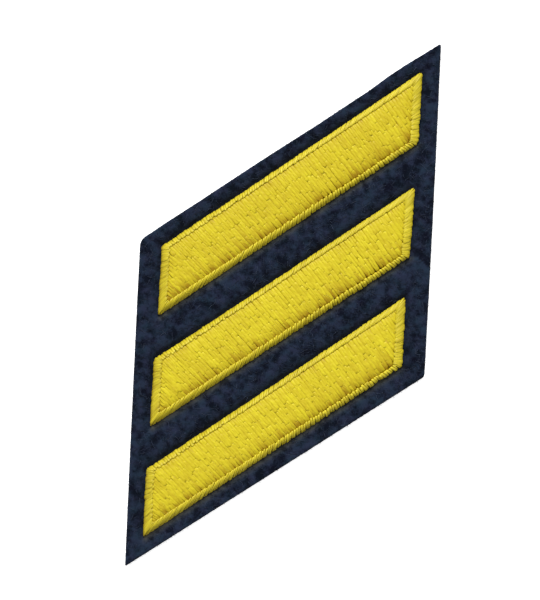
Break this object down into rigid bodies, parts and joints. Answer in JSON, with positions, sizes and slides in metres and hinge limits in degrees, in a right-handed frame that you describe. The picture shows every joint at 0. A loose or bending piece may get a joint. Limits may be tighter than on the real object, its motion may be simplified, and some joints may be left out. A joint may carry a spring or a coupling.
{
  "type": "service stripe",
  "caption": "Slanted navy felt sleeve patch carrying raised gold embroidered bars, each a filled middle inside a corded satin border.",
  "frame": {"origin": "under the middle of the patch, on its flat back", "axes": "+Z out of the embroidered face, +Y up the sleeve along the patch's long way, +X to the side on which the bars climb"},
  "size_m": [0.0448, 0.074, 0.0023],
  "materials": {
    "navy_felt": "matt pressed wool felt with a short nap",
    "gold_fill_thread": "lustrous rayon thread in close parallel rows",
    "gold_border_thread": "lustrous rayon thread in satin stitch"
  },
  "bodies": {
    "root": {"felt_backing": "navy_felt", "fill_upper": "gold_fill_thread", "fill_middle": "gold_fill_thread", "fill_lower": "gold_fill_thread", "border_upper": "gold_border_thread", "border_middle": "gold_border_thread", "border_lower": "gold_border_thread"}
  },
  "joints": []
}
